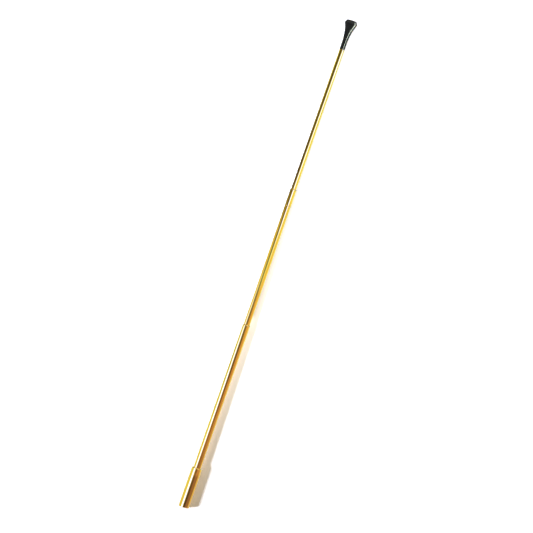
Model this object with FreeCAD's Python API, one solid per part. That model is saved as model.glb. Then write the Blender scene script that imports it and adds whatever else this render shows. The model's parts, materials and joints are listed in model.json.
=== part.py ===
import FreeCAD, Part
import math
import os

# A telescopic cigarette holder, fully drawn out: an open socket, three sliding tubes and a flat mouthpiece.
# Millimetres. The holder lies along +X with its axis on the X axis and +Z up.
# The origin is the centre of the socket's mouth, and the mouthpiece is at the far end.

# ---- driving dimensions -----------------------------------------------------------------------
SOCKET_LENGTH = 34.5        # socket mouth to its shoulder
SOCKET_RADIUS = 4.5
SOCKET_BORE_RADIUS = 4.1    # takes a cigarette 8 mm across
SOCKET_DEPTH = 16.0         # how far a cigarette goes in
SOCKET_SEAT_RADIUS = 3.9    # the socket's bore past that depth, where its bush is seated
OUTER_SHOWING = 127.5       # drawn out, the length of each tube that shows
MIDDLE_SHOWING = 122.5
INNER_SHOWING = 128.0
MOUTHPIECE_SHOWING = 27.0
OUTER_RADIUS = 3.25
MIDDLE_RADIUS = 2.75
INNER_RADIUS = 2.25
TUBE_WALL = 0.25
MIDDLE_TRAVEL = 119.5       # how far each sliding tube pushes in
INNER_TRAVEL = 114.0

# ---- fits -------------------------------------------------------------------------------------
SLIDE_GAP = 0.05            # radial, tube in guide bush and collar in tube
SLEEVE_GAP = 0.02           # radial, friction sleeve in its bore
TURN_GAP = 0.04             # radial, tube neck in its friction sleeve
SEAT_GAP = 0.01             # radial, pressed and soldered pieces
END_GAP = 0.1               # axial, between neighbours on a neck
STOP_GAP = 0.05             # axial, between a stop and what it meets

# ---- a telescoping joint ------------------------------------------------------------------------
NECK_DEPTH = 0.32           # how far a tube's neck is swaged below its outside
FLARE_DROP = 0.05           # how far the flared rear edge stays below the outside
FLARE_LENGTH = 0.9
SLEEVE_LENGTH = 5.4
SLEEVE_WALL = 0.2
SLEEVE_SLIT = 0.6
SLEEVE_SLOTS = 3            # short slots, besides the slit, that free its spring fingers
COLLAR_LENGTH = 1.2
SHOULDER_LENGTH = 0.6
BUSH_LENGTH = 4.0
LIP_ROOM = 0.5              # guide bush to the mouth of its tube
LIP_GAP = 0.05              # radial, rolled lip to the tube inside it
NECK_LENGTH = FLARE_LENGTH + END_GAP + SLEEVE_LENGTH + END_GAP + COLLAR_LENGTH
HIDDEN_LENGTH = NECK_LENGTH + STOP_GAP + BUSH_LENGTH + LIP_ROOM
LINE_BEHIND_MOUTH = 15.3    # fine turned line round the middle tube
LINE_WIDTH = 0.5
LINE_DEPTH = 0.06

# ---- stations along X ---------------------------------------------------------------------------
OUTER_REAR = SOCKET_DEPTH + 1.5
OUTER_MOUTH = SOCKET_LENGTH + OUTER_SHOWING
MIDDLE_MOUTH = OUTER_MOUTH + MIDDLE_SHOWING
INNER_END = MIDDLE_MOUTH + INNER_SHOWING
TOTAL_LENGTH = INNER_END + MOUTHPIECE_SHOWING
MIDDLE_REAR = OUTER_MOUTH - HIDDEN_LENGTH
INNER_REAR = MIDDLE_MOUTH - HIDDEN_LENGTH

# ---- socket and stops ---------------------------------------------------------------------------
SOCKET_NECKING = 0.13       # how much the socket narrows before its shoulder
SOCKET_NECK_LENGTH = 5.5
SOCKET_CORNER = 0.4
RIM_CHAMFER = 0.12
BUSH_LEAD_IN = 0.4
REAR_STOP_LENGTH = 4.0
REAR_STOP_BORE_RADIUS = 1.5
REAR_STOP_GAP = 0.3

# ---- mouthpiece: distances are from its neck's face -----------------------------------------------
BIT_NECK_RADIUS = 2.28
FLARE_START = 3.0
FLARE_POWER = 2.6
LIP_STATION = 24.3          # the widest place
LIP_HALF_WIDTH = 5.55
LIP_HALF_THICKNESS = 1.95
THINNING_START = 5.5
WAIST_STATION = 22.2        # the thinnest place, just behind the lip
WAIST_HALF_THICKNESS = 1.62
END_HALF_WIDTH = 4.1
END_HALF_THICKNESS = 1.2
TENON_LENGTH = 8.0
SMOKE_BORE_RADIUS = 0.8
FAN_START = 13.0            # where the round bore starts to spread into a slot
SLOT_HALF_WIDTH = 2.8
SLOT_HALF_HEIGHT = 0.5

ORIGIN = FreeCAD.Vector(0, 0, 0)
ALONG_X = FreeCAD.Vector(1, 0, 0)


def turned(*steps):
    """Solid of revolution about X from profile points (x, r).

    A step that is a pair of points is an arc through the first to the second.
    """
    here = FreeCAD.Vector(steps[0][0], 0, steps[0][1])
    first = here
    edges = []
    for step in steps[1:]:
        if isinstance(step[0], tuple):
            through = FreeCAD.Vector(step[0][0], 0, step[0][1])
            end = FreeCAD.Vector(step[1][0], 0, step[1][1])
            edges.append(Part.Arc(here, through, end).toShape())
        else:
            end = FreeCAD.Vector(step[0], 0, step[1])
            edges.append(Part.LineSegment(here, end).toShape())
        here = end
    if not here.isEqual(first, 1e-6):
        edges.append(Part.LineSegment(here, first).toShape())
    return Part.Face(Part.Wire(edges)).revolve(ORIGIN, ALONG_X, 360)


def ring(start, end, bore_radius, radius, edge):
    """Turned ring with its outer edges chamfered by edge."""
    return turned(
        (start, bore_radius),
        (start, radius - edge),
        (start + edge, radius),
        (end - edge, radius),
        (end, radius - edge),
        (end, bore_radius),
    )


def quarter_turn(centre_x, centre_r, radius):
    """The point halfway round the quarter arc between straight out and straight ahead of a centre."""
    reach = radius * math.sqrt(0.5)
    return centre_x + reach, centre_r + reach


def rolled_lip(mouth, radius, inside_radius):
    """Profile steps over a tube's mouth, which is rolled in towards the tube inside it."""
    opening = inside_radius + LIP_GAP
    roll = radius - opening
    start = mouth - roll
    inner_roll = roll - TUBE_WALL
    return [
        (start, radius),
        (quarter_turn(start, opening, roll), (mouth, opening)),
        (start + inner_roll, opening),
        (quarter_turn(start, opening, inner_roll), (start, opening + inner_roll)),
    ]


def neck_points(rear, radius):
    """Profile points of a swaged rear end: its flared edge, the flare's middle, the neck and the shoulder."""
    neck_radius = radius - NECK_DEPTH
    return (
        (rear, radius - FLARE_DROP),
        (rear + FLARE_LENGTH / 3, neck_radius + NECK_DEPTH / 3),
        (rear + FLARE_LENGTH, neck_radius),
        (rear + NECK_LENGTH, neck_radius),
        (rear + NECK_LENGTH + SHOULDER_LENGTH, radius),
    )


def sliding_tube(rear, radius, front_steps):
    """Thin tube with a swaged rear end. front_steps run from its outside round its front to the bore."""
    edge, flare, neck_start, neck_end, shoulder = neck_points(rear, radius)
    bore_edge, bore_flare, bore_start, bore_end, bore_shoulder = neck_points(rear, radius - TUBE_WALL)
    return turned(
        edge,
        (flare, neck_start),
        neck_end,
        shoulder,
        *front_steps,
        bore_shoulder,
        bore_end,
        bore_start,
        (bore_flare, bore_edge),
    )


def outer_tube():
    return turned(
        (OUTER_REAR, OUTER_RADIUS - TUBE_WALL),
        (OUTER_REAR, OUTER_RADIUS),
        *rolled_lip(OUTER_MOUTH, OUTER_RADIUS, MIDDLE_RADIUS),
    )


def middle_tube():
    tube = sliding_tube(MIDDLE_REAR, MIDDLE_RADIUS, rolled_lip(MIDDLE_MOUTH, MIDDLE_RADIUS, INNER_RADIUS))
    line_x = MIDDLE_MOUTH - LINE_BEHIND_MOUTH
    clear = MIDDLE_RADIUS + 1
    line = turned(
        (line_x - LINE_WIDTH / 2, clear),
        (line_x - LINE_WIDTH / 2, MIDDLE_RADIUS),
        ((line_x, MIDDLE_RADIUS - LINE_DEPTH), (line_x + LINE_WIDTH / 2, MIDDLE_RADIUS)),
        (line_x + LINE_WIDTH / 2, clear),
    )
    return tube.cut(line)


def inner_tube():
    front_steps = [(INNER_END, INNER_RADIUS), (INNER_END, INNER_RADIUS - TUBE_WALL)]
    return sliding_tube(INNER_REAR, INNER_RADIUS, front_steps)


def guide_bush(mouth, radius, inside_radius):
    """Thin ring behind a rolled lip, which guides the next tube and stops its collar."""
    front = mouth - LIP_ROOM
    bore_radius = inside_radius + SLIDE_GAP
    return ring(front - BUSH_LENGTH, front, bore_radius, radius - TUBE_WALL - SEAT_GAP, edge=0.05)


def friction_sleeve(rear, radius, inside_radius):
    """Bowed spring sleeve on a tube's neck: its middle presses on the bore, and it is slit from end to end."""
    start = rear + FLARE_LENGTH + END_GAP
    middle = start + SLEEVE_LENGTH / 2
    end = start + SLEEVE_LENGTH
    low = inside_radius - NECK_DEPTH + TURN_GAP
    high = radius - TUBE_WALL - SLEEVE_GAP
    sleeve = turned(
        (start, low),
        (start, low + SLEEVE_WALL),
        ((middle, high), (end, low + SLEEVE_WALL)),
        (end, low),
        ((middle, high - SLEEVE_WALL), (start, low)),
    )
    slot_margin = 1.0
    slit_corner = FreeCAD.Vector(start - 1, -SLEEVE_SLIT / 2, 0)
    sleeve = sleeve.cut(Part.makeBox(SLEEVE_LENGTH + 2, SLEEVE_SLIT, radius, slit_corner))
    slot_corner = FreeCAD.Vector(start + slot_margin, -SLEEVE_SLIT / 2, 0)
    for k in range(1, SLEEVE_SLOTS + 1):
        slot = Part.makeBox(SLEEVE_LENGTH - 2 * slot_margin, SLEEVE_SLIT, radius, slot_corner)
        slot.rotate(ORIGIN, ALONG_X, 360 * k / (SLEEVE_SLOTS + 1))
        sleeve = sleeve.cut(slot)
    return sleeve


def stop_collar(rear, radius, inside_radius):
    """Ring at the front of a tube's neck, which meets the guide bush when the tube is drawn out."""
    end = rear + NECK_LENGTH
    bore_radius = inside_radius - NECK_DEPTH + SEAT_GAP
    return ring(end - COLLAR_LENGTH, end, bore_radius, radius - TUBE_WALL - SLIDE_GAP, edge=0.1)


def rear_stop():
    """Bored plug deep in the outer tube, where the middle tube stops when it is pushed in."""
    front = MIDDLE_REAR - MIDDLE_TRAVEL - REAR_STOP_GAP
    radius = OUTER_RADIUS - TUBE_WALL - SEAT_GAP
    return ring(front - REAR_STOP_LENGTH, front, REAR_STOP_BORE_RADIUS, radius, edge=0.15)


def socket_tube():
    """Drawn tube that takes the cigarette. It narrows a little before it turns in to its shoulder."""
    wall = SOCKET_RADIUS - SOCKET_BORE_RADIUS
    taper_start = SOCKET_LENGTH - SOCKET_NECK_LENGTH
    shoulder_radius = SOCKET_RADIUS - SOCKET_NECKING
    corner_x = SOCKET_LENGTH - SOCKET_CORNER
    corner_radius = shoulder_radius - SOCKET_CORNER
    opening = OUTER_RADIUS + SEAT_GAP
    return turned(
        (0, SOCKET_BORE_RADIUS),
        (0, SOCKET_RADIUS - RIM_CHAMFER),
        (RIM_CHAMFER, SOCKET_RADIUS),
        (taper_start, SOCKET_RADIUS),
        (corner_x, shoulder_radius),
        (quarter_turn(corner_x, corner_radius, SOCKET_CORNER), (SOCKET_LENGTH, corner_radius)),
        (SOCKET_LENGTH, opening),
        (SOCKET_LENGTH - wall, opening),
        (SOCKET_LENGTH - wall, SOCKET_SEAT_RADIUS),
        (SOCKET_DEPTH, SOCKET_SEAT_RADIUS),
        (SOCKET_DEPTH, SOCKET_BORE_RADIUS),
    )


def socket_bush():
    """Turned ring that centres the outer tube in the socket. Its rear face is where the cigarette stops."""
    bore_radius = OUTER_RADIUS + SEAT_GAP
    outside = SOCKET_SEAT_RADIUS - SEAT_GAP
    front = SOCKET_LENGTH - SOCKET_NECK_LENGTH
    return turned(
        (SOCKET_DEPTH + BUSH_LEAD_IN, bore_radius),
        (SOCKET_DEPTH, bore_radius + BUSH_LEAD_IN),
        (SOCKET_DEPTH, outside),
        (front, outside),
        (front, bore_radius),
    )


def oval(x, half_width, half_thickness):
    """Closed elliptical curve across the mouthpiece at x. half_width is at least half_thickness."""
    centre = FreeCAD.Vector(x, 0, 0)
    side = FreeCAD.Vector(x, half_width, 0)
    top = FreeCAD.Vector(x, 0, half_thickness)
    return Part.Wire(Part.Ellipse(side, top, centre).toShape())


def smooth_step(start, end, here):
    """Rises from 0 at start to 1 at end, level at both."""
    t = min(1.0, max(0.0, (here - start) / (end - start)))
    return t * t * (3 - 2 * t)


def bit_section(u):
    """The mouthpiece's outline at a distance u from its neck's face, up to the lip."""
    reach = max(0.0, (u - FLARE_START) / (LIP_STATION - FLARE_START))
    half_width = BIT_NECK_RADIUS + (LIP_HALF_WIDTH - BIT_NECK_RADIUS) * reach ** FLARE_POWER
    thinned = (BIT_NECK_RADIUS - WAIST_HALF_THICKNESS) * smooth_step(THINNING_START, WAIST_STATION, u)
    lip = (LIP_HALF_THICKNESS - WAIST_HALF_THICKNESS) * smooth_step(WAIST_STATION, LIP_STATION, u)
    return oval(INNER_END + u, half_width, BIT_NECK_RADIUS - thinned + lip)


def smoke_passage():
    """Tapered passage through the tenon and the mouthpiece: round, then fanned out to a slot past the end."""
    overshoot = 0.5
    spread = 1 + overshoot / (MOUTHPIECE_SHOWING - FAN_START)
    return Part.makeLoft([
        oval(INNER_END - TENON_LENGTH - overshoot, SMOKE_BORE_RADIUS, SMOKE_BORE_RADIUS),
        oval(INNER_END + FAN_START, SMOKE_BORE_RADIUS, SMOKE_BORE_RADIUS),
        oval(TOTAL_LENGTH + overshoot, SLOT_HALF_WIDTH * spread, SLOT_HALF_HEIGHT),
    ], True, True)


def mouthpiece():
    """Moulded fishtail bit: a round neck that widens and flattens to a lip, and a tenon in the inner tube."""
    step = 2.5
    behind_waist = [k * step for k in range(int(WAIST_STATION / step) + 1)]
    halfway_up = (WAIST_STATION + LIP_STATION) / 2
    stations = behind_waist + [WAIST_STATION, halfway_up, LIP_STATION]
    body = Part.makeLoft([bit_section(u) for u in stations], True, False)
    end = oval(TOTAL_LENGTH, END_HALF_WIDTH, END_HALF_THICKNESS)
    nose = Part.makeLoft([bit_section(LIP_STATION), end], True, True)
    tenon_radius = INNER_RADIUS - TUBE_WALL - SEAT_GAP
    overlap = 1.0
    tenon = Part.makeCylinder(
        tenon_radius, TENON_LENGTH + overlap, FreeCAD.Vector(INNER_END - TENON_LENGTH, 0, 0), ALONG_X
    )
    return body.fuse([nose, tenon]).cut(smoke_passage())


PARTS = {
    "socket_tube": socket_tube(),
    "socket_bush": socket_bush(),
    "outer_tube": outer_tube(),
    "rear_stop": rear_stop(),
    "outer_guide_bush": guide_bush(OUTER_MOUTH, OUTER_RADIUS, MIDDLE_RADIUS),
    "middle_tube": middle_tube(),
    "middle_friction_sleeve": friction_sleeve(MIDDLE_REAR, OUTER_RADIUS, MIDDLE_RADIUS),
    "middle_stop_collar": stop_collar(MIDDLE_REAR, OUTER_RADIUS, MIDDLE_RADIUS),
    "middle_guide_bush": guide_bush(MIDDLE_MOUTH, MIDDLE_RADIUS, INNER_RADIUS),
    "inner_tube": inner_tube(),
    "inner_friction_sleeve": friction_sleeve(INNER_REAR, MIDDLE_RADIUS, INNER_RADIUS),
    "inner_stop_collar": stop_collar(INNER_REAR, MIDDLE_RADIUS, INNER_RADIUS),
    "mouthpiece": mouthpiece(),
}

os.makedirs("parts", exist_ok=True)
for name, shape in PARTS.items():
    print(f"{name}: {len(shape.Solids)} solid, valid {shape.isValid()}, {shape.Volume:.1f} mm3")
    shape.exportStep(f"parts/{name}.step")
pushed_in = TOTAL_LENGTH - MIDDLE_TRAVEL - INNER_TRAVEL
print(f"length drawn out {TOTAL_LENGTH:.1f} mm, pushed in {pushed_in:.1f} mm")
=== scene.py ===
import bmesh
import bpy
import json
import math
from mathutils import Matrix, Vector


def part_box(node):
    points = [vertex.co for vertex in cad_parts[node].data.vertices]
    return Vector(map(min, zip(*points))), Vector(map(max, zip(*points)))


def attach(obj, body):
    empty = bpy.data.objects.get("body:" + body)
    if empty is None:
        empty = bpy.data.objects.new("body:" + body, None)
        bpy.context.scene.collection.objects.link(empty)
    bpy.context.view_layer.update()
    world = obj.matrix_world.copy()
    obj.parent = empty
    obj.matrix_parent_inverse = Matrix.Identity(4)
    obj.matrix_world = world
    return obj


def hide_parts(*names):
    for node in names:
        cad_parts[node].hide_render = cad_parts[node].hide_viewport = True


# The looks of a telescopic cigarette holder: gold-plated tubes, and a moulded black mouthpiece.
# Metres, in the frame of the CAD model: the tubes lie along +X, with the socket's mouth at the origin.

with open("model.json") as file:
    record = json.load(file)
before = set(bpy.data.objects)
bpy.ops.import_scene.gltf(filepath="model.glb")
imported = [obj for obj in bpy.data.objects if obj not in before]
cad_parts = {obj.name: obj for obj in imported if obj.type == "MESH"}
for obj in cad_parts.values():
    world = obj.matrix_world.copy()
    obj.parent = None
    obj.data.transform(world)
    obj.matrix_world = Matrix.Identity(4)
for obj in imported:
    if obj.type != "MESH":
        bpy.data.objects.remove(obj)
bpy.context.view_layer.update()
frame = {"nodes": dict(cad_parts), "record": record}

# ---- camera: nearly overhead, a little towards the socket ----------------------------------------
CAMERA_DISTANCE = 1.24
CAMERA_TILT = math.radians(4.0)
STICK_LEAN = math.radians(19.1)     # in the picture, from upright towards the right
CAMERA_TARGET = Vector((0.2145, 0.0003, 0.0))
VIEW_WIDTH = 0.4539                 # what the picture spans at the target
SENSOR_WIDTH = 36.0                 # mm

# ---- mesh fineness -------------------------------------------------------------------------------
RING_SEGMENTS = 96
CORNER_STEPS = 4
SHARP_ANGLE = math.radians(50)
CORNER_SHARE = 0.45                 # of the side next to it, which a corner's rounding may take up

# ---- edges, rims and mouths of the tubes ---------------------------------------------------------
FINE_EDGE = 0.00004
RIM_EDGE = 0.00015
TUBE_WALL = 0.00025
LIP_LENGTH = 0.0005                 # how far back a mouth's lip starts to curve in
LIP_ROUNDING = 0.00012
LIP_DROP = 0.7                      # how much of the way in to the opening the lip curves
MOUTH_CLEARANCE = 0.00005           # between a mouth and the tube that slides in it
SWAGE_DEPTH = 0.00032               # of the neck at a tube's rear, which carries the sleeve and collar
SWAGE = [(0.0, 0.00005), (0.0009, SWAGE_DEPTH), (0.0077, SWAGE_DEPTH), (0.0083, 0.0)]
LINE_FROM_MOUTH = 0.0153            # the turned line near the middle tube's mouth
LINE_HALF_WIDTH = 0.00025
LINE_DEPTH = 0.00006

# ---- the socket ----------------------------------------------------------------------------------
SOCKET_BORE = 0.0041                # radius at the mouth, where the cigarette goes in
SOCKET_SEAT = 0.0039                # radius over the bush
SOCKET_NECKING = 0.0055             # length over which its front narrows
SOCKET_NARROWS = 0.00013
SOCKET_FRONT_WALL = 0.0004
SOCKET_NECKING_ROUNDING = 0.002
SOCKET_SHOULDER_ROUNDING = 0.0005
SOCKET_CLEARANCE = 0.00001          # between the socket's front and the outer tube

# ---- the mouthpiece, from its neck's face --------------------------------------------------------
BIT_NECK = 0.00228
BIT_FLARE_START = 0.003
BIT_FLARE_POWER = 2.6
BIT_LIP = 0.0243
BIT_LIP_HALF_WIDTH = 0.00555
BIT_LIP_HALF_THICKNESS = 0.00195
BIT_THINNING_START = 0.0055
BIT_WAIST = 0.0222
BIT_WAIST_HALF_THICKNESS = 0.00162
BIT_LENGTH = 0.027
BIT_END_HALF_WIDTH = 0.0041
BIT_END_HALF_THICKNESS = 0.0012
BIT_EDGE = 0.00015                  # rounding of the neck's face, and chamfer of the tenon
TENON_RADIUS = 0.00199
TENON_LENGTH = 0.008
SMOKE_RADIUS = 0.0008
SLOT_HALF_WIDTH = 0.0028
SLOT_HALF_HEIGHT = 0.0005
FAN_START = 0.013                   # where the smoke passage starts to widen into the slot
BIT_EDGE_STEPS = 3
BIT_FLARE_STEPS = 60
BIT_NOSE_STEPS = 14
BIT_FAN_STEPS = 4

# ---- colours of the materials --------------------------------------------------------------------
GOLD = (0.90, 0.56, 0.09)
GOLD_DEEP = (0.80, 0.44, 0.06)
GOLD_WORN = (0.84, 0.52, 0.085)
BRASS = (0.62, 0.42, 0.15)
BRASS_DARK = (0.30, 0.19, 0.07)
BRONZE = (0.55, 0.30, 0.13)
BLACK = (0.0034, 0.0037, 0.0034)
BLACK_HANDLED = (0.0065, 0.0065, 0.0062)
PAPER = (0.86, 0.86, 0.86)
PAPER_LIGHT = (0.88, 0.88, 0.88)
RUBBED_MOUTH = 0.004                # length of a tube's end where the plating is rubbed
RUBBED_NECK = 0.003                 # the same at the mouthpiece

# ---- grain of the materials: noise per metre along X, Y and Z ------------------------------------
DRAWN_LINES = (25, 9000, 9000)
CLOUDS = (70, 260, 260)
RUB_MARKS = (7000, 60, 60)          # round the tube, from turning it in its neighbour
LATHE_RINGS = (12000, 40, 40)
TARNISH = (500, 500, 500)
HANDLING = (420, 420, 420)
SCRATCHES = (900, 9000, 9000)
MOULD_RIPPLE = (600, 600, 600)
PAPER_GRAIN = (300, 300, 300)

# ---- stage and lights ----------------------------------------------------------------------------
# Lights' angles are in degrees from straight up, in the plane across the tubes, and positive to the
# right (-Y). Gold takes most of the blue out of what it mirrors, so its softboxes have more of it.
FLOOR_REACH = 4.0
BACKDROP_RADIUS = 3.4
BACKDROP_WHITE = (0.95, 0.95, 0.95)
LIGHT_DISTANCE = 0.9
WHITE_IN_GOLD = (1.15, 1.95, 16.0)  # light that gold mirrors as the white of an overexposed softbox
COOL_IN_GOLD = (1.10, 1.90, 20.0)   # the same, for a softbox seen in a narrower tube
WARM_IN_GOLD = (1.15, 1.6, 2.0)     # light at the edges of the left softbox
GREEN_IN_GOLD = (0.20, 0.90, 0.9)   # light that turns the mirrored warm card yellow
SOFT_EDGE = math.radians(5.0)
TOWARDS_KEY = Vector((-0.36, 0.729, 0.582))
KEY_SPREAD = math.radians(11)
GLOW_PLACE = Vector((0.087, -0.0030, -0.0018))  # low in the barrel, on its shadow's side

# ---- the studio that the metal mirrors -----------------------------------------------------------
# Each list is (x part of the direction that is looked in, colour of the studio), and x runs along the
# tubes. The right table is what shows low on the right, where the floor would be mirrored.
BETWEEN_CARDS = [
    (-0.100, (0.08, 0.06, 0.12)),
    (-0.078, (0.20, 0.14, 0.20)),
    (-0.062, (0.42, 0.28, 0.30)),
    (-0.040, (0.26, 0.18, 0.24)),
    (0.000, (0.13, 0.11, 0.16)),
    (0.060, (0.34, 0.34, 0.40)),
    (0.100, (0.10, 0.10, 0.09)),
]
RIGHT_CARD = [
    (-0.10, (0.34, 0.22, 0.30)),
    (-0.08, (0.37, 0.23, 0.32)),
    (-0.06, (0.59, 0.37, 0.42)),
    (0.00, (0.74, 0.46, 0.44)),
    (0.04, (0.98, 0.74, 0.55)),
    (0.10, (1.03, 0.98, 0.75)),
    (0.15, (1.05, 1.24, 0.85)),
    (0.19, (0.84, 1.02, 0.70)),
    (0.226, (0.90, 1.15, 1.0)),
    (0.231, (0.15, 0.15, 0.13)),
    (0.24, (0.15, 0.15, 0.13)),
]
RIGHT_TABLE = [
    (-0.10, (0.86, 0.78, 0.70)),
    (0.00, (1.05, 1.20, 1.2)),
    (0.08, (1.08, 1.50, 1.5)),
    (0.15, (1.05, 1.50, 1.3)),
    (0.226, (1.00, 1.35, 1.1)),
    (0.231, (0.12, 0.14, 0.12)),
    (0.24, (0.12, 0.14, 0.12)),
]
LEFT_CARD = [
    (-0.10, (0.88, 1.00, 0.70)),
    (-0.058, (0.92, 1.12, 0.75)),
    (-0.02, (0.80, 1.02, 0.75)),
    (0.006, (0.68, 0.86, 0.70)),
    (0.028, (0.88, 1.06, 0.80)),
    (0.09, (0.85, 0.92, 0.65)),
    (0.226, (0.92, 1.20, 0.9)),
    (0.231, (0.12, 0.14, 0.12)),
    (0.24, (0.12, 0.14, 0.12)),
]
# Beyond both ends of the holder, the studio depends on the height that is looked at instead.
PAST_THE_ENDS = [
    (-0.4, (0.12, 0.10, 0.08)),
    (-0.1, (0.40, 0.34, 0.26)),
    (0.05, (0.72, 0.66, 0.52)),
    (0.2, (1.05, 1.10, 1.00)),
    (0.3, (0.70, 0.68, 0.55)),
    (0.5, (1.00, 1.05, 0.95)),
]
END_SHARE = (0.28, 0.50)            # x parts of the direction, either way, where the ends take over
# The right card's edge, added up from shifts along the tubes: (from, to, degrees before, degrees after).
RIGHT_CARD_EDGE = [(0.03, 0.075, 24, 0), (0.09, 0.145, 0, -18), (0.135, 0.24, 0, 36)]
RIGHT_CARD_BLEND = 10               # degrees, either side of that edge
RIGHT_TABLE_SHARE = (76, 103)       # degrees where the table takes over from the card
# Where the left card shows: degrees from none of it to all of it, and the same along the tubes.
LEFT_CARD_NEAR = (-30, -65, 0.135, 0.085)
LEFT_CARD_FAR = (-60, -100, 0.14, 0.22)


# ---- meshes --------------------------------------------------------------------------------------
def softened(corners):
    """Closed profile with rounded corners. Each corner is (x, r, rounding), and rounding may be 0."""
    points = []
    count = len(corners)
    for k, (x, r, rounding) in enumerate(corners):
        here = Vector((x, r))
        before = Vector(corners[k - 1][:2])
        after = Vector(corners[(k + 1) % count][:2])
        if not rounding:
            points.append(here)
            continue
        back = before - here
        ahead = after - here
        reach = min(rounding, CORNER_SHARE * back.length, CORNER_SHARE * ahead.length)
        start = here + back.normalized() * reach
        end = here + ahead.normalized() * reach
        # A point past the rounding, on either side, keeps its smooth shading off the rest of a long side.
        if back.length > 4 * reach:
            points.append(here + back.normalized() * 2 * reach)
        for step in range(CORNER_STEPS + 1):
            t = step / CORNER_STEPS
            points.append((1 - t) ** 2 * start + 2 * t * (1 - t) * here + t ** 2 * end)
        if ahead.length > 4 * reach:
            points.append(here + ahead.normalized() * 2 * reach)
    return points


def skin(name, rings):
    """Closed mesh through elliptical rings (x, half width, half thickness), the last joined to the first."""
    shape = bmesh.new()
    loops = []
    for x, half_width, half_thickness in rings:
        loop = []
        for k in range(RING_SEGMENTS):
            turn = 2 * math.pi * k / RING_SEGMENTS
            across, up = half_width * math.cos(turn), half_thickness * math.sin(turn)
            loop.append(shape.verts.new((x, across, up)))
        loops.append(loop)
    for loop, following in zip(loops, loops[1:] + loops[:1]):
        for k in range(RING_SEGMENTS):
            after = (k + 1) % RING_SEGMENTS
            shape.faces.new((loop[k], loop[after], following[after], following[k]))
    bmesh.ops.recalc_face_normals(shape, faces=shape.faces)
    piece = add_mesh(name, shape)
    piece.data.shade_smooth()
    piece.data.set_sharp_from_angle(angle=SHARP_ANGLE)
    return piece


def add_mesh(name, shape):
    """Object in the scene from a bmesh, which is used up."""
    mesh = bpy.data.meshes.new(name)
    shape.to_mesh(mesh)
    shape.free()
    piece = bpy.data.objects.new(name, mesh)
    bpy.context.scene.collection.objects.link(piece)
    return piece


def turned(name, corners):
    """Turned piece from a closed profile of (x, r, rounding)."""
    return skin(name, [(p.x, p.y, p.y) for p in softened(corners)])


def tube_radius(node):
    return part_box(node)[1].z


def rolled_mouth(mouth_x, radius, inside_radius):
    """Corners over a tube's mouth, from its outside round the rolled lip to the bore."""
    opening = inside_radius + MOUTH_CLEARANCE
    roll = radius - opening
    return [
        (mouth_x - LIP_LENGTH, radius, CORNER_SHARE * LIP_LENGTH),
        (mouth_x, radius - LIP_DROP * roll, LIP_ROUNDING),
        (mouth_x, opening, FINE_EDGE),
        (mouth_x - 2 * LIP_LENGTH, opening, FINE_EDGE),
        (mouth_x - 2 * LIP_LENGTH, radius - TUBE_WALL, FINE_EDGE),
    ]


def swaged_rear(rear_x, radius):
    """Corners of a tube's rear end, from its bore round the flared edge to its outside."""
    bore = [(rear_x + x, radius - TUBE_WALL - down, FINE_EDGE) for x, down in reversed(SWAGE)]
    return bore + [(rear_x + x, radius - down, FINE_EDGE) for x, down in SWAGE]


def make_outer_tube():
    low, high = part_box("outer_tube")
    radius = high.z
    corners = [
        (low.x, radius - TUBE_WALL, FINE_EDGE),
        (low.x, radius, FINE_EDGE),
        *rolled_mouth(high.x, radius, tube_radius("middle_tube")),
    ]
    return turned("outer_tube_finished", corners)


def make_middle_tube():
    low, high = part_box("middle_tube")
    radius = high.z
    line_x = high.x - LINE_FROM_MOUTH
    corners = [
        *swaged_rear(low.x, radius),
        (line_x - LINE_HALF_WIDTH, radius, FINE_EDGE),
        (line_x, radius - LINE_DEPTH, FINE_EDGE),
        (line_x + LINE_HALF_WIDTH, radius, FINE_EDGE),
        *rolled_mouth(high.x, radius, tube_radius("inner_tube")),
    ]
    return turned("middle_tube_finished", corners)


def make_inner_tube():
    low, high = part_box("inner_tube")
    radius = high.z
    corners = [
        *swaged_rear(low.x, radius),
        (high.x, radius, FINE_EDGE),
        (high.x, radius - TUBE_WALL, FINE_EDGE),
    ]
    return turned("inner_tube_finished", corners)


def make_socket():
    low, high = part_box("socket_tube")
    radius = high.z
    opening = tube_radius("outer_tube") + SOCKET_CLEARANCE
    step_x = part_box("socket_bush")[0].x
    corners = [
        (low.x, SOCKET_BORE, RIM_EDGE),
        (low.x, radius, RIM_EDGE),
        (high.x - SOCKET_NECKING, radius, SOCKET_NECKING_ROUNDING),
        (high.x, radius - SOCKET_NARROWS, SOCKET_SHOULDER_ROUNDING),
        (high.x, opening, FINE_EDGE),
        (high.x - SOCKET_FRONT_WALL, opening, FINE_EDGE),
        (high.x - SOCKET_FRONT_WALL, SOCKET_SEAT, FINE_EDGE),
        (step_x, SOCKET_SEAT, FINE_EDGE),
        (step_x, SOCKET_BORE, FINE_EDGE),
    ]
    return turned("socket_finished", corners)


def smooth_step(start, end, here):
    """Rises from 0 at start to 1 at end, level at both."""
    t = min(1.0, max(0.0, (here - start) / (end - start)))
    return t * t * (3 - 2 * t)


def bit_ring(u):
    """Ring of the mouthpiece's outside at a distance u from its neck's face, up to the lip."""
    reach = max(0.0, (u - BIT_FLARE_START) / (BIT_LIP - BIT_FLARE_START))
    half_width = BIT_NECK + (BIT_LIP_HALF_WIDTH - BIT_NECK) * reach ** BIT_FLARE_POWER
    thinned = (BIT_NECK - BIT_WAIST_HALF_THICKNESS) * smooth_step(BIT_THINNING_START, BIT_WAIST, u)
    lip = (BIT_LIP_HALF_THICKNESS - BIT_WAIST_HALF_THICKNESS) * smooth_step(BIT_WAIST, BIT_LIP, u)
    return u, half_width, BIT_NECK - thinned + lip


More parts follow.
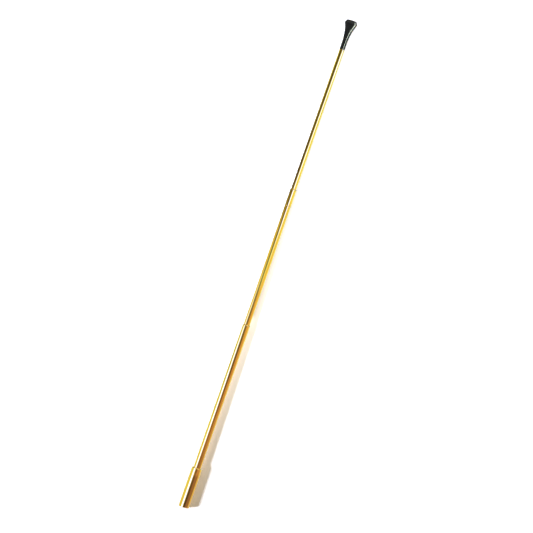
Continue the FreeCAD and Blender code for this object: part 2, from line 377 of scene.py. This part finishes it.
def make_mouthpiece():
    """Fishtail bit: tenon, round neck, flat flare, lip with cut corners, slot and smoke passage."""
    rings = [
        (-TENON_LENGTH, SMOKE_RADIUS, SMOKE_RADIUS),
        (-TENON_LENGTH, TENON_RADIUS - BIT_EDGE, TENON_RADIUS - BIT_EDGE),
        (-TENON_LENGTH + BIT_EDGE, TENON_RADIUS, TENON_RADIUS),
        (0.0, TENON_RADIUS, TENON_RADIUS),
        (0.0, BIT_NECK - BIT_EDGE, BIT_NECK - BIT_EDGE),
    ]
    for step in range(1, BIT_EDGE_STEPS + 1):
        turn = math.pi / 2 * step / BIT_EDGE_STEPS
        radius = BIT_NECK - BIT_EDGE * (1 - math.sin(turn))
        rings.append((BIT_EDGE * (1 - math.cos(turn)), radius, radius))
    for step in range(1, BIT_FLARE_STEPS + 1):
        rings.append(bit_ring(BIT_LIP * step / BIT_FLARE_STEPS))
    nose = BIT_LENGTH - BIT_LIP
    for step in range(1, BIT_NOSE_STEPS + 1):
        t = step / BIT_NOSE_STEPS
        rings.append((
            BIT_LIP + nose * t,
            BIT_LIP_HALF_WIDTH + (BIT_END_HALF_WIDTH - BIT_LIP_HALF_WIDTH) * t,
            BIT_LIP_HALF_THICKNESS + (BIT_END_HALF_THICKNESS - BIT_LIP_HALF_THICKNESS) * t ** 2,
        ))
    for step in range(BIT_FAN_STEPS + 1):
        t = step / BIT_FAN_STEPS
        rings.append((
            BIT_LENGTH - (BIT_LENGTH - FAN_START) * t,
            SLOT_HALF_WIDTH + (SMOKE_RADIUS - SLOT_HALF_WIDTH) * t,
            SLOT_HALF_HEIGHT + (SMOKE_RADIUS - SLOT_HALF_HEIGHT) * t,
        ))
    tube_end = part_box("inner_tube")[1].x
    return skin("mouthpiece_moulding", [(tube_end + u, a, b) for u, a, b in rings])


# ---- nodes ---------------------------------------------------------------------------------------
class Nodes:
    """Short ways to add nodes to a tree and to link them."""

    def __init__(self, tree):
        self.tree = tree

    def add(self, kind):
        return self.tree.nodes.new(kind)

    def link(self, source, target):
        self.tree.links.new(source, target)

    def feed(self, value, socket):
        """Sets a socket to a number or a colour, or links it to an output."""
        if isinstance(value, tuple):
            socket.default_value = (*value, 1.0)
        elif isinstance(value, (int, float)):
            socket.default_value = value
        else:
            self.link(value, socket)

    def maths(self, operation, first, second):
        node = self.add("ShaderNodeMath")
        node.operation = operation
        self.feed(first, node.inputs[0])
        self.feed(second, node.inputs[1])
        return node.outputs["Value"]

    def remap(self, value, low, high, to_low=0.0, to_high=1.0):
        """Smooth step from to_low, where the value is low, to to_high, where it is high."""
        node = self.add("ShaderNodeMapRange")
        node.interpolation_type = "SMOOTHSTEP"
        for socket, number in zip(node.inputs[1:5], (low, high, to_low, to_high)):
            self.feed(number, socket)
        self.link(value, node.inputs["Value"])
        return node.outputs["Result"]

    def mix(self, amount, first, second):
        """Mix of two colours, each a tuple or an output."""
        node = self.add("ShaderNodeMix")
        node.data_type = "RGBA"
        self.link(amount, node.inputs[0])
        self.feed(first, node.inputs[6])
        self.feed(second, node.inputs[7])
        return node.outputs[2]

    def ramp(self, value, stops):
        """Colours at the stops' values, which rise, with straight blends between them."""
        low, high = stops[0][0], stops[-1][0]
        scaled = self.add("ShaderNodeMapRange")
        scaled.inputs["From Min"].default_value = low
        scaled.inputs["From Max"].default_value = high
        self.link(value, scaled.inputs["Value"])
        node = self.add("ShaderNodeValToRGB")
        self.link(scaled.outputs["Result"], node.inputs["Fac"])
        elements = node.color_ramp.elements
        while len(elements) < len(stops):
            elements.new(0.5)
        for element, (place, colour) in zip(elements, stops):
            element.position = (place - low) / (high - low)
            element.color = (*colour, 1.0)
        return node.outputs["Color"]

    def split(self, vector):
        node = self.add("ShaderNodeSeparateXYZ")
        self.link(vector, node.inputs["Vector"])
        return node.outputs["X"], node.outputs["Y"], node.outputs["Z"]

    def angle_across(self, y, z):
        """Angle from straight up, in the plane across the tubes, positive to the right."""
        return self.maths("ARCTAN2", self.maths("MULTIPLY", y, -1.0), z)


class Finish(Nodes):
    """A node material being built, with its shader."""

    def __init__(self, name):
        self.material = bpy.data.materials.new(name)
        self.material.use_nodes = True
        super().__init__(self.material.node_tree)
        self.shader = self.tree.nodes["Principled BSDF"]
        self.place = self.add("ShaderNodeTexCoord").outputs["Object"]

    def set(self, **values):
        """Sets the shader's sockets, whose names are written with _ for each space."""
        for name, value in values.items():
            self.feed(value, self.shader.inputs[name.replace("_", " ")])

    def shade(self, source, name):
        """Links a value to the shader's socket of that name."""
        self.link(source, self.shader.inputs[name])

    def noise(self, grain, detail=3.0, roughness=0.5, distortion=0.0):
        """Noise that is this fine along each axis, per metre."""
        mapping = self.add("ShaderNodeMapping")
        mapping.inputs["Scale"].default_value = grain
        self.link(self.place, mapping.inputs["Vector"])
        texture = self.add("ShaderNodeTexNoise")
        texture.inputs["Scale"].default_value = 1.0
        texture.inputs["Detail"].default_value = detail
        texture.inputs["Roughness"].default_value = roughness
        texture.inputs["Distortion"].default_value = distortion
        self.link(mapping.outputs["Vector"], texture.inputs["Vector"])
        return texture.outputs["Fac"]

    def bump(self, height, distance):
        node = self.add("ShaderNodeBump")
        node.inputs["Distance"].default_value = distance
        node.inputs["Strength"].default_value = 1.0
        self.link(height, node.inputs["Height"])
        self.shade(node.outputs["Normal"], "Normal")


# ---- materials -----------------------------------------------------------------------------------
def gold_finish(name, worn_from, worn_to):
    """Gold plate on drawn tube: fine lines along it, faint clouds, and rubbed towards worn_to in x."""
    gold = Finish(name)
    gold.set(Metallic=1.0, IOR=1.5)
    drawn = gold.noise(DRAWN_LINES, detail=4.0)
    clouds = gold.noise(CLOUDS, detail=4.0, roughness=0.6)
    twist = gold.noise(RUB_MARKS, detail=2.0)
    rubbed = gold.remap(gold.split(gold.place)[0], worn_from, worn_to)
    rubbed = gold.maths("MULTIPLY", rubbed, gold.remap(clouds, 0.35, 0.7, to_low=0.25, to_high=1.0))
    tint = gold.mix(gold.remap(clouds, 0.35, 0.7, to_low=0.0, to_high=0.5), GOLD, GOLD_DEEP)
    gold.shade(gold.mix(rubbed, tint, GOLD_WORN), "Base Color")
    hairlines = gold.remap(twist, 0.62, 0.72, to_low=0.0, to_high=0.05)
    roughness = gold.maths("ADD", gold.remap(drawn, 0.3, 0.7, to_low=0.04, to_high=0.09), hairlines)
    roughness = gold.maths("ADD", roughness, gold.maths("MULTIPLY", rubbed, 0.08))
    gold.shade(roughness, "Roughness")
    gold.bump(gold.maths("ADD", drawn, gold.maths("MULTIPLY", twist, 0.3)), distance=0.0000015)
    return gold.material


def turned_metal_finish(name, colour, dark):
    """Bare turned metal: fine lathe rings and a patchy tarnish."""
    metal = Finish(name)
    metal.set(Metallic=1.0)
    lathe = metal.noise(LATHE_RINGS)
    patches = metal.noise(TARNISH, detail=5.0, roughness=0.65)
    tarnish = metal.remap(patches, 0.4, 0.75, to_low=0.0, to_high=0.8)
    metal.shade(metal.mix(tarnish, colour, dark), "Base Color")
    roughness = metal.remap(lathe, 0.3, 0.7, to_low=0.22, to_high=0.38)
    roughness = metal.maths("ADD", roughness, metal.maths("MULTIPLY", tarnish, 0.2))
    metal.shade(roughness, "Roughness")
    metal.bump(lathe, distance=0.000004)
    return metal.material


def resin_finish(name):
    """Glossy moulded resin: almost black, with faint handling marks and hairline scratches."""
    resin = Finish(name)
    resin.set(IOR=1.52, Specular_IOR_Level=0.25)
    marks = resin.noise(HANDLING, detail=5.0, roughness=0.62)
    scratches = resin.noise(SCRATCHES, detail=2.0, distortion=0.6)
    ripple = resin.noise(MOULD_RIPPLE, detail=2.0)
    resin.shade(resin.mix(resin.remap(marks, 0.3, 0.75), BLACK, BLACK_HANDLED), "Base Color")
    lines = resin.remap(scratches, 0.66, 0.74, to_low=0.0, to_high=0.12)
    roughness = resin.maths("ADD", resin.remap(marks, 0.35, 0.7, to_low=0.07, to_high=0.15), lines)
    resin.shade(roughness, "Roughness")
    resin.bump(resin.maths("ADD", ripple, resin.maths("MULTIPLY", scratches, 0.05)), distance=0.00001)
    return resin.material


def paint(piece, material):
    piece.data.materials.clear()
    piece.data.materials.append(material)


# ---- the holder ----------------------------------------------------------------------------------
def dress_holder():
    """Makes and paints every piece. Returns the gold ones and the resin ones."""
    outer_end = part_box("outer_tube")[1].x
    middle_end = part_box("middle_tube")[1].x
    inner_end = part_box("inner_tube")[1].x
    socket = make_socket()
    outer = make_outer_tube()
    middle = make_middle_tube()
    inner = make_inner_tube()
    bit = make_mouthpiece()
    plated = [
        (socket, "barrel", "socket_tube", (RUBBED_MOUTH, 0.0)),
        (outer, "barrel", "outer_tube", (outer_end - RUBBED_MOUTH, outer_end)),
        (middle, "middle_section", "middle_tube", (middle_end - RUBBED_MOUTH, middle_end)),
        (inner, "inner_section", "inner_tube", (inner_end - RUBBED_NECK, inner_end)),
    ]
    for piece, body, node, worn in plated:
        paint(piece, gold_finish(f"gold_{node}", *worn))
        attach(piece, body)
        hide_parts(node)
    paint(bit, resin_finish("black_resin"))
    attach(bit, "inner_section")
    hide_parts("mouthpiece")
    brass = turned_metal_finish("turned_brass", BRASS, BRASS_DARK)
    bronze = turned_metal_finish("spring_bronze", BRONZE, BRASS_DARK)
    for row in frame["record"]["subparts"]:
        node = frame["nodes"][row["node"]]
        if row["material_slot"] == "raw_brass":
            paint(node, brass)
        if row["material_slot"] == "spring_bronze":
            paint(node, bronze)
    return [socket, outer, middle, inner], [bit]


# ---- floor and backdrop --------------------------------------------------------------------------
def make_floor():
    """Pale floor that touches the socket's rim and the mouthpiece's lip, and that nothing mirrors."""
    socket_low, bit_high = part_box("socket_tube")[0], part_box("mouthpiece")[1]
    lip_x = bit_high.x - (BIT_LENGTH - BIT_LIP)
    slope = (-BIT_LIP_HALF_THICKNESS - socket_low.z) / lip_x
    shape = bmesh.new()
    corners = [(-FLOOR_REACH, -FLOOR_REACH), (FLOOR_REACH, -FLOOR_REACH),
               (FLOOR_REACH, FLOOR_REACH), (-FLOOR_REACH, FLOOR_REACH)]
    shape.faces.new([shape.verts.new((x, y, socket_low.z + slope * x)) for x, y in corners])
    floor = add_mesh("floor", shape)
    paper = Finish("floor_paper")
    paper.set(Roughness=0.9, Specular_IOR_Level=0.1)
    paper.shade(paper.mix(paper.noise(PAPER_GRAIN, detail=4.0), PAPER, PAPER_LIGHT), "Base Color")
    paint(floor, paper.material)
    floor.visible_glossy = False


def make_backdrop():
    """White dome behind everything, which only the camera sees."""
    shape = bmesh.new()
    bmesh.ops.create_uvsphere(shape, u_segments=48, v_segments=24, radius=BACKDROP_RADIUS)
    dome = add_mesh("backdrop", shape)
    cloth = Finish("backdrop_cloth")
    cloth.set(Base_Color=(0, 0, 0), Roughness=1.0, Specular_IOR_Level=0.0,
              Emission_Color=BACKDROP_WHITE, Emission_Strength=1.0)
    paint(dome, cloth.material)
    dome.visible_diffuse = False
    dome.visible_glossy = False
    dome.visible_transmission = False
    dome.visible_shadow = False


# ---- lights --------------------------------------------------------------------------------------
def facing(angle, x, distance):
    """Placement of something that faces the tubes from an angle, with its own X along them."""
    direction = Vector((0, -math.sin(angle), math.cos(angle)))
    sideways = Vector((1, 0, 0))
    turn = Matrix((sideways, direction.cross(sideways), direction)).transposed().to_4x4()
    return Matrix.Translation(Vector((x, 0, 0)) + direction * distance) @ turn


def area_light(name, angle, across, x_from, x_to, radiance, colour=(1, 1, 1), distance=LIGHT_DISTANCE):
    """Area light that faces the tubes from an angle, and spans the angle across either way.

    The radiance is how bright it is to look at.
    """
    data = bpy.data.lights.new(name, "AREA")
    data.shape = "RECTANGLE"
    data.size = x_to - x_from
    data.size_y = 2 * distance * math.tan(math.radians(across))
    data.color = colour
    data.energy = radiance * math.pi * data.size * data.size_y
    light = bpy.data.objects.new(name, data)
    light.matrix_world = facing(math.radians(angle), (x_from + x_to) / 2, distance)
    light.visible_camera = False
    bpy.context.scene.collection.objects.link(light)
    return light


def sun_light(name, towards, colour, energy):
    """Light from far away, in the direction towards it."""
    data = bpy.data.lights.new(name, "SUN")
    data.color = colour
    data.energy = energy
    light = bpy.data.objects.new(name, data)
    light.matrix_world = towards.to_track_quat("Z", "Y").to_matrix().to_4x4()
    bpy.context.scene.collection.objects.link(light)
    return light


def mirrored_only_by(light, pieces):
    """Hides a light from the floor and from all pieces but these."""
    light.visible_diffuse = False
    receivers = bpy.data.collections.new(light.name + "_receivers")
    for piece in pieces:
        receivers.objects.link(piece)
    light.light_linking.receiver_collection = receivers


def shape_softbox(light, band, drift, drift_over, fade_over, edge_colour, core_colour, core_over):
    """Makes a light a soft-sided band along the tubes, between two angles that drift as x changes.

    The light grows over x from the first value of fade_over to the second. The middle of the band turns
    to core_colour over core_over in the same way, and the rest has edge_colour.
    """
    low, high = math.radians(band[0]), math.radians(band[1])
    light.data.use_nodes = True
    nodes = Nodes(light.data.node_tree)
    x, y, z = nodes.split(nodes.add("ShaderNodeNewGeometry").outputs["Position"])
    angle = nodes.angle_across(y, z)
    angle = nodes.maths("SUBTRACT", angle, nodes.remap(x, *drift_over, 0.0, math.radians(drift)))
    rise = nodes.remap(angle, low - SOFT_EDGE, low + SOFT_EDGE)
    fall = nodes.remap(angle, high + SOFT_EDGE, high - SOFT_EDGE)
    shape = nodes.maths("MULTIPLY", nodes.maths("MULTIPLY", rise, fall), nodes.remap(x, *fade_over))
    core_rise = nodes.remap(angle, low - 0.5 * SOFT_EDGE, low + SOFT_EDGE)
    core_fall = nodes.remap(angle, high - 0.5 * SOFT_EDGE, high - 3 * SOFT_EDGE)
    core = nodes.maths("MULTIPLY", core_rise, core_fall)
    core = nodes.maths("MULTIPLY", core, nodes.remap(x, *core_over))
    emission = nodes.tree.nodes["Emission"]
    nodes.link(shape, emission.inputs["Strength"])
    nodes.link(nodes.mix(core, edge_colour, core_colour), emission.inputs["Color"])


def make_lights(plated, resin):
    """Softboxes for the gold, a strip for the resin, a key for the shadow, and shadowless fills."""
    left = area_light("left_softbox", angle=-46, across=26, x_from=-0.9, x_to=0.35, radiance=1.05)
    shape_softbox(left, band=(-60, -22), drift=-18, drift_over=(0.05, 0.25), fade_over=(0.30, 0.10),
                  edge_colour=WARM_IN_GOLD, core_colour=WHITE_IN_GOLD, core_over=(0.6, 0.3))
    right = area_light("right_softbox", angle=35, across=52, x_from=0.2, x_to=1.2, radiance=0.78)
    shape_softbox(right, band=(-7, 29), drift=52, drift_over=(0.42, 0.68), fade_over=(0.22, 0.29),
                  edge_colour=GREEN_IN_GOLD, core_colour=COOL_IN_GOLD, core_over=(0.29, 0.40))
    mirrored_only_by(left, plated)
    mirrored_only_by(right, plated)
    strip = area_light("resin_strip", angle=39, across=4, x_from=-1.0, x_to=1.2, radiance=75.0,
                       colour=(0.90, 1.0, 0.84))
    mirrored_only_by(strip, resin)

    key = sun_light("key", TOWARDS_KEY, colour=(0.92, 0.96, 1.08), energy=6.0)
    key.data.angle = KEY_SPREAD
    fill = sun_light("shadow_fill", Vector((0, 0, 1)), colour=(1.0, 0.50, 0.0), energy=0.46)
    upper = area_light("upper_fill", angle=0, across=80, x_from=0.10, x_to=1.2, radiance=1.62,
                       colour=(1.0, 0.96, 0.81), distance=0.15)
    far = area_light("far_fill", angle=0, across=80, x_from=0.26, x_to=1.3, radiance=0.6,
                     colour=(0.1, 0.3, 1.0), distance=0.12)
    # The glow stands for the light that the barrel's gold throws down onto the floor.
    glow = area_light("tube_glow", angle=0, across=30, x_from=0.004, x_to=0.17, radiance=1.0,
                      colour=(1.0, 0.78, 0.66), distance=0.002)
    glow.matrix_world = Matrix.Translation(GLOW_PLACE)
    for light in (fill, upper, far, glow):
        light.data.use_shadow = False
    for light in (key, fill, upper, far, glow):
        light.visible_glossy = False


# ---- studio and camera ---------------------------------------------------------------------------
def make_world():
    """Studio that the holder mirrors but that lights no floor: a card on each side, and dark between them."""
    world = bpy.data.worlds.new("studio")
    bpy.context.scene.world = world
    world.use_nodes = True
    world.cycles_visibility.diffuse = False
    world.cycles.sampling_method = "NONE"
    nodes = Nodes(world.node_tree)
    lean, y, z = nodes.split(nodes.add("ShaderNodeTexCoord").outputs["Generated"])
    angle = nodes.angle_across(y, z)

    def turned_past(start, end):
        """Share that rises over an angle across the tubes, in degrees."""
        return nodes.remap(angle, math.radians(start), math.radians(end))

    def card_share(angle_from, angle_to, lean_from, lean_to):
        share = turned_past(angle_from, angle_to)
        return nodes.maths("MULTIPLY", share, nodes.remap(lean, lean_from, lean_to))

    shifts = [nodes.remap(lean, start, end, math.radians(before), math.radians(after))
              for start, end, before, after in RIGHT_CARD_EDGE]
    edge = nodes.maths("ADD", nodes.maths("ADD", shifts[0], shifts[1]), shifts[2])
    blend = math.radians(RIGHT_CARD_BLEND)
    right_share = nodes.remap(nodes.maths("SUBTRACT", angle, edge), -blend, blend)
    left_share = nodes.maths("MAXIMUM", card_share(*LEFT_CARD_NEAR), card_share(*LEFT_CARD_FAR))
    end_share = nodes.remap(nodes.maths("ABSOLUTE", lean, 0.0), *END_SHARE)
    seen = nodes.mix(right_share, nodes.ramp(lean, BETWEEN_CARDS), nodes.ramp(lean, RIGHT_CARD))
    seen = nodes.mix(turned_past(*RIGHT_TABLE_SHARE), seen, nodes.ramp(lean, RIGHT_TABLE))
    seen = nodes.mix(left_share, seen, nodes.ramp(lean, LEFT_CARD))
    seen = nodes.mix(end_share, seen, nodes.ramp(z, PAST_THE_ENDS))
    nodes.link(seen, nodes.tree.nodes["Background"].inputs["Color"])


def make_camera():
    data = bpy.data.cameras.new("camera")
    data.sensor_width = SENSOR_WIDTH
    data.lens = data.sensor_width * CAMERA_DISTANCE / VIEW_WIDTH
    data.clip_start = 0.01
    data.clip_end = 50.0
    camera = bpy.data.objects.new("camera", data)
    back = Vector((-math.sin(CAMERA_TILT), 0, math.cos(CAMERA_TILT)))
    along = Vector((math.cos(CAMERA_TILT), 0, math.sin(CAMERA_TILT)))
    across = Vector((0, -1, 0))
    right = math.sin(STICK_LEAN) * along + math.cos(STICK_LEAN) * across
    up = math.cos(STICK_LEAN) * along - math.sin(STICK_LEAN) * across
    turn = Matrix((right, up, back)).transposed().to_4x4()
    camera.matrix_world = Matrix.Translation(CAMERA_TARGET + back * CAMERA_DISTANCE) @ turn
    bpy.context.scene.collection.objects.link(camera)
    bpy.context.scene.camera = camera


plated, resin = dress_holder()
make_floor()
make_backdrop()
make_lights(plated, resin)
make_world()
make_camera()
bpy.context.scene.view_settings.view_transform = "Standard"
bpy.context.view_layer.update()
